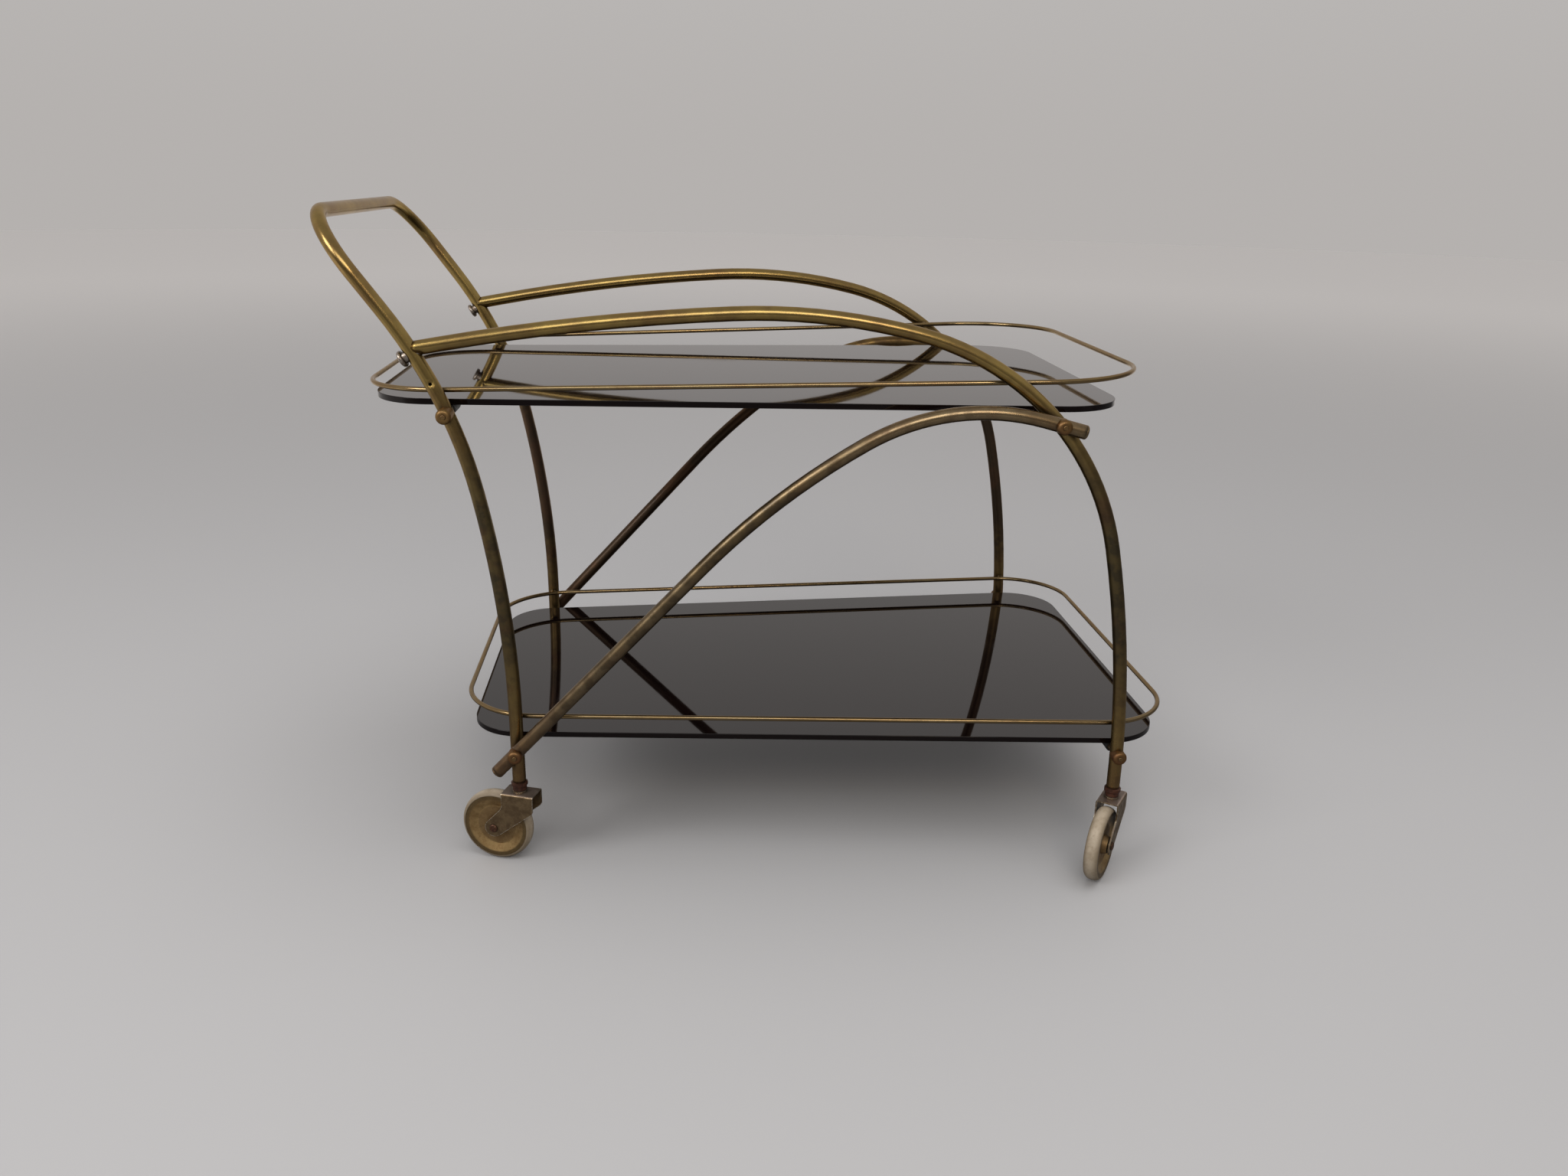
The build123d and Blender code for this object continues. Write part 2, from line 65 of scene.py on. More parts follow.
# Floor: size in metres, tones near and far as seen, and the tones that the cart mirrors
FLOOR_RADIUS = 14.0
FLOOR_SEGMENTS = 96
FLOOR_ROUGHNESS = 0.55
FLOOR_NEAR = (0.43, 0.43, 0.44, 1)
FLOOR_FAR = (0.93, 0.91, 0.90, 1)
FLOOR_MIRRORED = (0.165, 0.165, 0.170, 1)
FLOOR_LIT = (0.31, 0.30, 0.29, 1)

# Where one floor tone goes over to the next, in metres: from the middle, from the middle as mirrored,
# along the direction away from the dim side, and along Y at both ends of the lit patch
FLOOR_BLEND = (0.9, 8.0)
MIRROR_BLEND = (0.8, 2.0)
AWAY_BLEND = (-0.3, 0.6)
LIT_BLEND = (-1.15, -1.6)
LIT_END = (-2.5, -2.0)

# Studio surroundings: tones as seen, then as mirrored, with a dim side, paler above, and a duller top
HORIZON_COLOUR = (0.462, 0.441, 0.428, 1)
STUDIO_COLOUR = (0.50, 0.485, 0.475, 1)
STUDIO_MIRRORED = (0.53, 0.500, 0.485, 1)
DIM_SIDE = (0.18, 0.172, 0.165, 1)
ABOVE_DIM_SIDE = (0.48, 0.465, 0.44, 1)
DULL_TOP = (0.42, 0.41, 0.395, 1)
STUDIO_STRENGTH = 1.0

# Where one of these tones goes over to the next: by a direction's rise, or by how far it points away
HORIZON_BLEND = (0.0, 0.25)
ABOVE_BLEND = (0.20, 0.55)
TOP_BLEND = (0.55, 0.95)
SIDE_BLEND = (-0.30, 0.45)

# Lamps: place and aim, width and height in metres, watts and colour
LAMPS = {
    "window": ((-2.6, -1.9, 2.3), (0, 0, 0.30), 1.6, 1.2, 42, (1.0, 0.98, 0.96)),
    "lamp": ((-0.35, -3.4, 2.55), (0, 0, 0.40), 2.5, 1.4, 34, (1.0, 0.98, 0.95)),
    "warm": ((0.55, -3.4, 2.35), (0, 0, 0.40), 0.45, 0.6, 6, (1.0, 0.74, 0.45)),
    "ceiling": ((0.3, -0.6, 3.0), (0, 0, 0.30), 2.6, 2.6, 46, (1.0, 0.99, 0.98)),
}
UNMIRRORED_LAMP = "ceiling"

# Brass tones as linear colours: metal, tarnish, darker tones low down and on the left side, grime that also serves
# as painted shade in crevices, and the tint of the metal at a grazing angle
CLEAN_BRASS = (0.40, 0.280, 0.088, 1)
WORN_BRASS = (0.320, 0.238, 0.135, 1)
WIRE_BRASS = (0.30, 0.226, 0.114, 1)
DULL_BRASS = (0.27, 0.175, 0.064, 1)
GREEN_TARNISH = (0.060, 0.050, 0.031, 1)
BROWN_TARNISH = (0.115, 0.070, 0.034, 1)
RED_TARNISH = (0.17, 0.075, 0.038, 1)
OLIVE_TARNISH = (0.090, 0.064, 0.034, 1)
LEFT_DARK_TONE = (0.050, 0.034, 0.026, 1)
GRIME_AND_SHADE = (0.030, 0.022, 0.014, 1)
GRAZING_TINT = (0.80, 0.71, 0.60, 1)

# Darkening by place, in metres: heights where the brass turns darker below the upper shelf, where that eases at
# the feet and reddens there, and the stretch across the cart where it turns darker still toward the left side
LOW_ZONE = (0.54, 0.38)
FOOT_ZONE = (0.28, 0.15)
RED_ZONE = (0.22, 0.09)
LEFT_ZONE = (-0.1, 0.1)

# Tarnish and darkening by amount: red share at the feet, factor on the left side, the most that covers the metal,
# and what tarnish, darkening and grime in crevices add to its roughness
RED_SHARE = 0.40
LEFT_FACTOR = 1.3
MOST_TARNISH = 0.93
TARNISH_ROUGHENING = 0.14
GRIME_ROUGHENING = 0.2
LACQUER_ROUGHNESS = 0.16

# Radius over which the shading of brass is evened out, in metres: bent tube, wire and turned pieces
TUBE_EVENED = 0.005
WIRE_EVENED = 0.002
TURNED_EVENED = 0.0008

# Openness between which a place counts as a crevice, darkened as painted shade, or as free, and change of normal
# between which an edge is worn, which the yoke also paints as a highlight
CREVICE_OPENNESS = (0.45, 0.95)
EDGE_CHANGE = (0.02, 0.25)

# Rays cast at a point of the surface for each of these
EVENED_SAMPLES = 24
CREVICE_SAMPLES = 8
EDGE_SAMPLES = 6

# Brass finishes, by the names that the function brass takes
BRASS_FINISHES = {
    "aged_brass": dict(clean=CLEAN_BRASS, tarnish=BROWN_TARNISH, share=0.26, roughness=0.23,
                       low_share=0.75, lacquer=0.25, foot=0.40),
    "dark_brass": dict(clean=WORN_BRASS, tarnish=BROWN_TARNISH, share=0.48, roughness=0.25,
                       speckle=0.7, low_share=0.60, red=0.2, below=OLIVE_TARNISH),
    "darker_brass": dict(clean=DULL_BRASS, tarnish=BROWN_TARNISH, share=0.70, roughness=0.34,
                          speckle=1.2, low_share=0.75, lacquer=0.1),
    "rod_brass": dict(clean=DULL_BRASS, tarnish=RED_TARNISH, share=0.60, roughness=0.42,
                      evened=TURNED_EVENED),
    "cap_brass": dict(clean=DULL_BRASS, tarnish=RED_TARNISH, share=0.40, roughness=0.42,
                      speckle=1.3, low_share=0.40, lacquer=0.1, red=0.45, below=RED_TARNISH,
                      evened=TURNED_EVENED),
    "wire_brass": dict(clean=WIRE_BRASS, tarnish=RED_TARNISH, share=0.22, roughness=0.20,
                       speckle=0.8, low_share=0.05, lacquer=0.3, evened=WIRE_EVENED),
    "bush_bronze": dict(clean=DULL_BRASS, tarnish=BROWN_TARNISH, share=0.60, roughness=0.34,
                        evened=TURNED_EVENED),
}

# Rings on a wheel, in metres: three by distance from the axle line, one from the middle plane; those of the disc's
# recess and lip and of the tyre's walls are darkened partly as painted shade
DISC_RECESS = (0.0235, 0.0205)
DISC_LIP = (0.0300, 0.0325)
TYRE_SEAM = (0.0364, 0.0356)
TYRE_WALL = (0.0015, 0.0080)

# Glass: refractive index, and the specular level of edges and flats by how level a face lies
GLASS_IOR = 1.52
GLASS_FLATNESS = (0.3, 0.9)
GLASS_SPECULAR = (0.18, 0.5)

# Glass shelves: rear and front edges, half widths there and corner radii, in metres
SHELVES = {
    "upper": ((-0.3967, 0.3547), (0.1874, 0.2243), (0.062, 0.068)),
    "lower": ((-0.3197, 0.4253), (0.1894, 0.2420), (0.054, 0.060)),
}
CORNER_STEPS = 20

# Arrises of the glass: radius in metres, steps round it, and radii from each face to the plain edge
ARRIS = 0.0006
ARRIS_STEPS = 5
EDGE_HOLD = 1.3

# Braze at the gallery joints, in metres: place along X, height, centre of the wire and face of the tube
BRAZE_JOINTS = {
    "upper_rear": (-0.3252, 0.50996, 0.1972, 0.2005),
    "upper_front": (0.2300, 0.52547, 0.2330, 0.2364),
    "lower_rear": (-0.2681, 0.1659, 0.1948, 0.2005),
    "lower_front": (0.3641, 0.1659, 0.2406, 0.2449),
}
SIDES = {"right": -1, "left": 1}
BRAZE_NECK = 0.0023
BRAZE_FLARE = 0.0020
BRAZE_FLARE_POWER = 3
BRAZE_SINK = 0.0012
BRAZE_SIDES = 24
BRAZE_RINGS = 9

# Unevenness of the braze: share of its radius, lobes round it and turn in radians a metre
BRAZE_LUMPS = (0.07, 3, 40)
BRAZE_RIPPLES = (0.05, 5, 90)


class Shader:
    """The node tree of a material or the world, with short calls for the nodes used here."""

    # Sockets of the mix node that take and give colours
    MIX_A = 6
    MIX_B = 7
    MIX_OUT = 2

    def __init__(self, owner, surface="Principled BSDF", place="Object"):
        self.owner = owner
        self.owner.use_nodes = True
        self.tree = owner.node_tree
        self.surface = self.tree.nodes[surface]
        self.place = self.add("ShaderNodeTexCoord").outputs[place]

    def add(self, kind, **settings):
        node = self.tree.nodes.new(kind)
        for key, value in settings.items():
            setattr(node, key, value)
        return node

    def put(self, socket, value):
        """Set a socket to a plain value, or link another node's output to it."""
        if isinstance(value, bpy.types.NodeSocket):
            self.tree.links.new(value, socket)
        else:
            socket.default_value = value

    def finish(self, **sockets):
        """Set the surface's own sockets by name, with _ for each space."""
        for key, value in sockets.items():
            self.put(self.surface.inputs[key.replace("_", " ")], value)
        return self.owner

    def maths(self, operation, a, b=0.0):
        node = self.add("ShaderNodeMath", operation=operation)
        self.put(node.inputs[0], a)
        self.put(node.inputs[1], b)
        return node.outputs[0]

    def times(self, a, b):
        return self.maths("MULTIPLY", a, b)

    def vector(self, operation, a, b=(0, 0, 0), output="Vector"):
        node = self.add("ShaderNodeVectorMath", operation=operation)
        self.put(node.inputs[0], a)
        self.put(node.inputs[1], b)
        return node.outputs[output]

    def dot(self, a, b):
        return self.vector("DOT_PRODUCT", a, b, "Value")

    def length(self, a):
        return self.vector("LENGTH", a, output="Value")

    def remap(self, value, low, high, to_low=0.0, to_high=1.0):
        """Value taken smoothly from the range low to high into another range."""
        node = self.add("ShaderNodeMapRange", interpolation_type="SMOOTHSTEP")
        for socket, number in zip(node.inputs, (value, low, high, to_low, to_high)):
            self.put(socket, number)
        return node.outputs[0]

    def noise(self, scale, detail=3.0, roughness=0.55, stretch=(1, 1, 1), shift=(0, 0, 0)):
        """Noise of that many lumps a metre, drawn out along an axis by a small stretch."""
        place = self.vector("MULTIPLY", self.vector("ADD", self.place, shift), stretch)
        node = self.add("ShaderNodeTexNoise")
        self.put(node.inputs["Vector"], place)
        node.inputs["Scale"].default_value = scale
        node.inputs["Detail"].default_value = detail
        node.inputs["Roughness"].default_value = roughness
        return node.outputs["Fac"]

    def patches(self, scale, low, high, **settings):
        """Noise with more contrast: 0 up to low, 1 from high on."""
        return self.remap(self.noise(scale, **settings), low, high)

    def spots(self, scale, core, rim):
        """Scattered spots, that many a metre: 1 inside the core, 0 outside the rim, in cell widths."""
        node = self.add("ShaderNodeTexVoronoi")
        self.put(node.inputs["Vector"], self.place)
        node.inputs["Scale"].default_value = scale
        return self.remap(node.outputs["Distance"], core, rim, 1.0, 0.0)

    def mix(self, share, a, b):
        """Colour a going over to colour b."""
        node = self.add("ShaderNodeMix", data_type="RGBA")
        self.put(node.inputs[0], share)
        self.put(node.inputs[self.MIX_A], a)
        self.put(node.inputs[self.MIX_B], b)
        return node.outputs[self.MIX_OUT]

    def layer(self, colour, tone, mask, strength):
        """Colour with a tone laid over it where the mask says, at most by that strength."""
        return self.mix(self.times(mask, strength), colour, tone)

    def part(self, vector, axis):
        """X, Y or Z part of a vector."""
        node = self.add("ShaderNodeSeparateXYZ")
        self.put(node.inputs[0], vector)
        return node.outputs[axis]

    def along(self, axis):
        """X, Y or Z of the place."""
        return self.part(self.place, axis)

    def normal(self):
        return self.add("ShaderNodeNewGeometry").outputs["Normal"]

    def rounded(self, radius, samples):
        """The surface's normal averaged over a radius."""
        node = self.add("ShaderNodeBevel", samples=samples)
        node.inputs["Radius"].default_value = radius
        return node.outputs[0]

    def crevice(self, reach):
        """1 where other surfaces stand within reach, 0 in the open."""
        node = self.add("ShaderNodeAmbientOcclusion", samples=CREVICE_SAMPLES)
        node.inputs["Distance"].default_value = reach
        return self.remap(node.outputs["AO"], *CREVICE_OPENNESS, 1.0, 0.0)

    def worn_edge(self, radius):
        """1 along sharp edges, 0 on the flats."""
        likeness = self.dot(self.rounded(radius, EDGE_SAMPLES), self.normal())
        return self.remap(self.maths("SUBTRACT", 1.0, likeness), *EDGE_CHANGE)

    def bump(self, height, strength, distance, under=None):
        node = self.add("ShaderNodeBump")
        node.inputs["Strength"].default_value = strength
        node.inputs["Distance"].default_value = distance
        self.put(node.inputs["Height"], height)
        if under is not None:
            self.put(node.inputs["Normal"], under)
        return node.outputs[0]


def brass(name, clean, tarnish, share, roughness, speckle=1.0, low_share=0.0, lacquer=0.4, red=0.3,
          foot=1.0, below=GREEN_TARNISH, evened=TUBE_EVENED):
    """Aged brass: clean metal under cloudy tarnish, red blushes, specks, old lacquer, and grime with painted shade
    at joints.

    Tarnish covers its share of the metal. Below the upper shelf the colour turns to the tone below and
    darkens by low_share more, of which the foot keeps a part, and more again toward the left side.
    """
    s = Shader(bpy.data.materials.new(name))
    broad = s.patches(11, 0.36, 0.66, detail=2)
    cloud = s.patches(70, 0.38, 0.70, roughness=0.50)
    blush = s.patches(19, 0.50, 0.66, detail=4, roughness=0.6, shift=(3, 1, 2))
    fleck = s.patches(520, 0.60, 0.74)
    pitted_place = s.patches(60, 0.54, 0.68, detail=2, shift=(5, 2, 4))
    pits = s.times(s.spots(240, 0.05, 0.16), pitted_place)
    low = s.times(s.remap(s.along("Z"), *LOW_ZONE), s.remap(s.along("Z"), *FOOT_ZONE, 1.0, foot))
    left = s.remap(s.along("Y"), *LEFT_ZONE)
    corner = s.crevice(reach=0.010)

    metal = s.layer(clean, DULL_BRASS, broad, strength=0.7)
    heavier = s.remap(left, 0.0, 1.0, 1.0, LEFT_FACTOR)
    low_darkening = s.times(s.times(low, heavier), low_share)
    browned = s.maths("MINIMUM", s.maths("ADD", s.times(cloud, share), low_darkening), MOST_TARNISH)
    colour = s.mix(browned, metal, s.mix(low, tarnish, s.mix(left, below, LEFT_DARK_TONE)))
    rusty_foot = s.remap(s.along("Z"), *RED_ZONE, 0.0, RED_SHARE)
    colour = s.mix(s.maths("MAXIMUM", s.times(blush, red), rusty_foot), colour, RED_TARNISH)
    rough_skin = s.times(s.remap(browned, 0.1, 0.8, 0.35, 1.0), speckle)
    colour = s.layer(colour, BROWN_TARNISH, s.times(fleck, rough_skin), strength=0.30)
    colour = s.layer(colour, GRIME_AND_SHADE, s.times(pits, rough_skin), strength=0.35)
    # Painted shade with grime in crevices, from an occlusion mask
    colour = s.layer(colour, GRIME_AND_SHADE, corner, strength=0.75)

    shine = s.remap(browned, 0.0, 0.9, roughness, roughness + TARNISH_ROUGHENING)
    shine = s.maths("ADD", shine, s.times(corner, GRIME_ROUGHENING))
    even = s.rounded(evened, EVENED_SAMPLES)
    dented = s.bump(s.noise(26, detail=1), strength=0.006, distance=0.002, under=even)
    pitted = s.bump(pits, strength=-0.015, distance=0.0003, under=dented)
    return s.finish(Base_Color=colour, Metallic=1.0, Roughness=shine, Normal=pitted,
                    Specular_Tint=GRAZING_TINT, Coat_Weight=lacquer, Coat_Roughness=LACQUER_ROUGHNESS)


def screw_steel():
    """Dulled steel with a warm film and turning marks."""
    s = Shader(bpy.data.materials.new("screw_steel"))
    steel = (0.38, 0.335, 0.29, 1)
    filmed = (0.24, 0.185, 0.145, 1)
    cloud = s.patches(260, 0.40, 0.66, detail=4)
    colour = s.mix(cloud, steel, filmed)
    # Painted shade with grime in crevices, from an occlusion mask
    colour = s.layer(colour, GRIME_AND_SHADE, s.crevice(reach=0.004), strength=0.9)
    shine = s.remap(cloud, 0, 1, 0.32, 0.48)
    marks = s.bump(s.noise(1500, detail=1, stretch=(1, 1, 0.1)), strength=0.12, distance=0.0003)
    return s.finish(Base_Color=colour, Metallic=1.0, Roughness=shine, Normal=marks)


def black_rubber():
    """Matte black rubber with a dusty bloom."""
    s = Shader(bpy.data.materials.new("black_rubber"))
    black = (0.010, 0.009, 0.010, 1)
    dusty = (0.035, 0.032, 0.032, 1)
    bloom = s.patches(180, 0.45, 0.75, detail=4)
    colour = s.mix(bloom, black, dusty)
    shine = s.remap(bloom, 0, 1, 0.50, 0.72)
    grain = s.bump(s.noise(1400, detail=2), strength=0.25, distance=0.0003)
    return s.finish(Base_Color=colour, Roughness=shine, Normal=grain)


def smoked_glass():
    """Black smoked glass: polished flats with faint wiping marks, smears and dust, and darker edges."""
    s = Shader(bpy.data.materials.new("smoked_glass"))
    black = (0.004, 0.002, 0.002, 1)
    dusty = (0.07, 0.06, 0.055, 1)
    smeared = (0.06, 0.048, 0.040, 1)
    wipe = s.patches(7, 0.48, 0.80, detail=4, stretch=(1, 2.2, 1))
    smear = s.patches(38, 0.62, 0.80, detail=5, roughness=0.65)
    film = s.maths("MAXIMUM", s.times(wipe, 0.6), smear)
    colour = s.layer(black, dusty, s.spots(130, 0.02, 0.05), strength=0.20)
    colour = s.layer(colour, smeared, film, strength=0.06)
    shine = s.remap(film, 0.0, 1.0, 0.030, 0.115)
    wave = s.bump(s.noise(3.0, detail=0), strength=0.02, distance=0.002)
    flatness = s.maths("ABSOLUTE", s.part(s.normal(), "Z"))
    specular = s.remap(flatness, *GLASS_FLATNESS, *GLASS_SPECULAR)
    return s.finish(Base_Color=colour, Roughness=shine, IOR=GLASS_IOR, Specular_IOR_Level=specular,
                    Normal=wave)


def ferrule_bronze():
    """Rust-brown socket, satin, with worn rims."""
    s = Shader(bpy.data.materials.new("ferrule_bronze"))
    rust = (0.090, 0.034, 0.020, 1)
    dark_rust = (0.040, 0.016, 0.012, 1)
    rubbed = (0.30, 0.17, 0.08, 1)
    colour = s.mix(s.patches(210, 0.38, 0.68, detail=4), rust, dark_rust)
    colour = s.layer(colour, rubbed, s.worn_edge(radius=0.0006), strength=0.6)
    # Painted shade with grime in crevices, from an occlusion mask
    colour = s.layer(colour, GRIME_AND_SHADE, s.crevice(reach=0.006), strength=0.8)
    grain = s.bump(s.noise(700), strength=0.30, distance=0.0004)
    return s.finish(Base_Color=colour, Metallic=0.55, Roughness=0.46, Normal=grain)


def caster_steel():
    """Pressed yoke: dark bronze plating, paler on top, rusty in spots, and rubbed bright along its bends, partly
    as a painted highlight.
    """
    s = Shader(bpy.data.materials.new("caster_steel"))
    plating = (0.235, 0.165, 0.090, 1)
    dull_plating = (0.135, 0.090, 0.050, 1)
    pale_top = (0.50, 0.40, 0.34, 1)
    rust = (0.13, 0.055, 0.028, 1)
    rubbed_and_highlit = (0.85, 0.77, 0.64, 1)
    cloud = s.patches(120, 0.36, 0.68, detail=5, roughness=0.6)
    rusty = s.patches(330, 0.58, 0.72, detail=4)
    top = s.remap(s.part(s.normal(), "Z"), 0.5, 0.95)
    worn = s.times(s.worn_edge(radius=0.0018), s.patches(420, 0.36, 0.56, detail=2))
    colour = s.mix(cloud, plating, dull_plating)
    colour = s.layer(colour, pale_top, top, strength=0.75)
    colour = s.layer(colour, rust, rusty, strength=0.4)
    # Painted shade with grime in crevices, from an occlusion mask
    colour = s.layer(colour, GRIME_AND_SHADE, s.crevice(reach=0.006), strength=0.6)
    # Bends lightened: rubbed wear, and a painted highlight along the edges
    colour = s.layer(colour, rubbed_and_highlit, worn, strength=0.9)
    shine = s.maths("SUBTRACT", s.remap(cloud, 0, 1, 0.36, 0.52), s.times(worn, 0.16))
    grain = s.bump(s.noise(620), strength=0.18, distance=0.0004)
    return s.finish(Base_Color=colour, Metallic=0.9, Roughness=shine, Normal=grain)


def rivet_bronze():
    """Axle: dark red-brown rivet heads, rubbed at the rims."""
    s = Shader(bpy.data.materials.new("rivet_bronze"))
    bronze = (0.130, 0.060, 0.034, 1)
    dark_bronze = (0.060, 0.030, 0.020, 1)
    rubbed = (0.42, 0.31, 0.18, 1)
    cloud = s.patches(420, 0.38, 0.66, detail=4)
    colour = s.mix(cloud, bronze, dark_bronze)
    colour = s.layer(colour, rubbed, s.worn_edge(radius=0.0006), strength=0.5)
    # Painted shade with grime in crevices, from an occlusion mask
    colour = s.layer(colour, GRIME_AND_SHADE, s.crevice(reach=0.004), strength=0.7)
    shine = s.remap(cloud, 0, 1, 0.40, 0.55)
    grain = s.bump(s.noise(900), strength=0.20, distance=0.0003)
    return s.finish(Base_Color=colour, Metallic=0.8, Roughness=shine, Normal=grain)


def wheel_place(s, corner):
    """Distance from a wheel's axle line, and from its middle plane, for rings of painted shade, grime and wear."""
    roll = next(j for j in frame["joints"] if j["name"] == f"{corner}_roll")
    centre = Vector(roll["pos_m"])
    axis = Vector(roll["axis"]).normalized()
    offset = s.vector("SUBTRACT", s.place, centre)
    along = s.dot(offset, axis)
    scaled = s.add("ShaderNodeVectorMath", operation="SCALE")
    scaled.inputs[0].default_value = axis
    s.put(scaled.inputs["Scale"], along)
    radius = s.length(s.vector("SUBTRACT", offset, scaled.outputs[0]))
    return radius, s.maths("ABSOLUTE", along)


def wheel_brass(corner):
    """Pressed wheel disc: golden flange, a brown recess of painted shade with grime, a dark outer lip of painted
    shade, and painted shade with grime in crevices.
    """
    s = Shader(bpy.data.materials.new(f"wheel_brass_{corner}"))
    golden = (0.44, 0.295, 0.130, 1)
    dull_gold = (0.30, 0.190, 0.080, 1)
    brown = (0.17, 0.105, 0.052, 1)
    shaded_lip = (0.115, 0.080, 0.038, 1)
    red_brown = (0.17, 0.085, 0.035, 1)
    radius, _ = wheel_place(s, corner)
    cloud = s.patches(130, 0.36, 0.66, detail=5, roughness=0.6)
    recess = s.remap(radius, *DISC_RECESS)
    colour = s.mix(cloud, golden, dull_gold)
    # The recess darkened: painted shade, with grime
    colour = s.layer(colour, brown, recess, strength=0.55)
    # The outer lip darkened as painted shade
    colour = s.layer(colour, shaded_lip, s.remap(radius, *DISC_LIP), strength=0.75)
    colour = s.layer(colour, red_brown, s.patches(480, 0.56, 0.72), strength=0.5)
    # Painted shade with grime in crevices, from an occlusion mask
    colour = s.layer(colour, GRIME_AND_SHADE, s.crevice(reach=0.007), strength=0.7)
    shine = s.remap(s.maths("ADD", cloud, recess), 0, 2, 0.34, 0.56)
    grain = s.bump(s.noise(560), strength=0.22, distance=0.0004)
    return s.finish(Base_Color=colour, Metallic=0.85, Roughness=shine, Normal=grain)


def cream_rubber(corner):
    """Yellowed cream tyre with soiled side walls darkened further as painted shade, scuffs and a dark line against
    the rim.
    """
    s = Shader(bpy.data.materials.new(f"cream_rubber_{corner}"))
    cream = (0.39, 0.325, 0.245, 1)
    yellowed = (0.30, 0.243, 0.172, 1)
    soiled_and_shaded = (0.170, 0.128, 0.078, 1)
    scuffed = (0.20, 0.155, 0.10, 1)
    dark_line = (0.08, 0.058, 0.035, 1)
    radius, aside = wheel_place(s, corner)
    cloud = s.patches(95, 0.38, 0.68, detail=5, roughness=0.62)
    colour = s.mix(cloud, cream, yellowed)
    # Side walls: soiling, and painted shade that rounds the tyre
    colour = s.layer(colour, soiled_and_shaded, s.remap(aside, *TYRE_WALL), strength=0.80)
    colour = s.layer(colour, scuffed, s.patches(380, 0.57, 0.72, detail=4), strength=0.35)
    colour = s.layer(colour, dark_line, s.remap(radius, *TYRE_SEAM), strength=0.8)
    shine = s.remap(cloud, 0, 1, 0.50, 0.66)
    grain = s.bump(s.noise(850), strength=0.22, distance=0.0004)
    return s.finish(Base_Color=colour, Roughness=shine, Normal=grain)


def give(piece, material):
    """Replace a piece's material."""
    piece.data.materials.clear()
    piece.data.materials.append(material)


def finish_nodes():
    """Every CAD node takes the material of its slot, apart from the darker left brace and the axles."""
    shared = {name: brass(name, **finish) for name, finish in BRASS_FINISHES.items()}
    shared["screw_steel"] = screw_steel()
    shared["black_rubber"] = black_rubber()
    shared["smoked_glass"] = smoked_glass()
    shared["ferrule_bronze"] = ferrule_bronze()
    shared["caster_steel"] = caster_steel()
    shared["rivet_bronze"] = rivet_bronze()
    by_wheel = {"wheel_brass": wheel_brass, "cream_rubber": cream_rubber}
    for part in record["subparts"]:
        name, slot = part["node"], part["material_slot"]
        if slot in by_wheel:
            corner = name.split("_caster_")[0]
            give(nodes[name], by_wheel[slot](corner))
        elif name == "left_brace":
            give(nodes[name], shared["darker_brass"])
        elif name.endswith("_axle"):
            give(nodes[name], shared["rivet_bronze"])
        else:
            give(nodes[name], shared[slot])


def new_piece(name, points, faces, smooth):
    """Mesh object from points and faces; smooth says which faces are shaded smooth."""
    mesh = bpy.data.meshes.new(name)
    mesh.from_pydata(points, [], faces)
    for face, soft in zip(mesh.polygons, smooth):
        face.use_smooth = soft
    mesh.validate()
    piece = bpy.data.objects.new(name, mesh)
    scene.collection.objects.link(piece)
    return piece


def shelf_plan(ends, half_widths, radii, inset):
    """A shelf's outline moved inward: tapered, with rounded corners, as points in order."""
    slope = (half_widths[1] - half_widths[0]) / (ends[1] - ends[0])
    rear, front = ends[0] + inset, ends[1] - inset
    narrowing = inset * hypot(1, slope)
    rear_half = half_widths[0] + slope * inset - narrowing
    front_half = half_widths[1] - slope * inset - narrowing
    sharp = ((rear, -rear_half), (front, -front_half), (front, front_half), (rear, rear_half))
    corners = [Vector(c) for c in sharp]
    rear_radius, front_radius = radii
    corner_radii = (rear_radius, front_radius, front_radius, rear_radius)
    points = []
    for k, corner in enumerate(corners):
        radius = corner_radii[k] - inset
        back = (corners[k - 1] - corner).normalized()
        ahead = (corners[(k + 1) % 4] - corner).normalized()
        half_angle = back.angle(ahead) / 2
        middle = corner + (back + ahead).normalized() * (radius / sin(half_angle))
        start = corner + back * (radius / tan(half_angle)) - middle
        for step in range(CORNER_STEPS + 1):
            turn = (pi - 2 * half_angle) * step / CORNER_STEPS
            points.append(middle + Matrix.Rotation(turn, 2) @ start)
    return points


def make_shelf(level):
    """Glass shelf with a polished edge and softly rounded arrises."""
    low, high = (corner.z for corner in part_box(f"{level}_glass_shelf"))
    angles = [pi / 2 * step / ARRIS_STEPS for step in range(ARRIS_STEPS + 1)]
    section = [(ARRIS * (1 - sin(a)), low + ARRIS * (1 - cos(a))) for a in angles]
    section += [(0, low + ARRIS * EDGE_HOLD), (0, high - ARRIS * EDGE_HOLD)]
    section += [(ARRIS * (1 - cos(a)), high - ARRIS * (1 - sin(a))) for a in angles]
    points = []
    for inset, z in section:
        points += [(x, y, z) for x, y in shelf_plan(*SHELVES[level], inset)]
    count = len(points) // len(section)
    faces = [list(range(count))[::-1], list(range(len(points) - count, len(points)))]
    for ring in range(len(section) - 1):
        for k in range(count):
            a, b = ring * count + k, ring * count + (k + 1) % count
            faces.append([a, b, b + count, a + count])
    shelf = new_piece(f"{level}_glass", points, faces, [False, False] + [True] * (len(faces) - 2))
    give(shelf, nodes[f"{level}_glass_shelf"].data.materials[0])
    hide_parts(f"{level}_glass_shelf")
    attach(shelf, "frame")


def lobes(angle, distance, share, count, turn):
    """Swelling of a neck at one angle: so many lobes round it, turned further with distance."""
    return share * sin(count * angle + turn * distance)


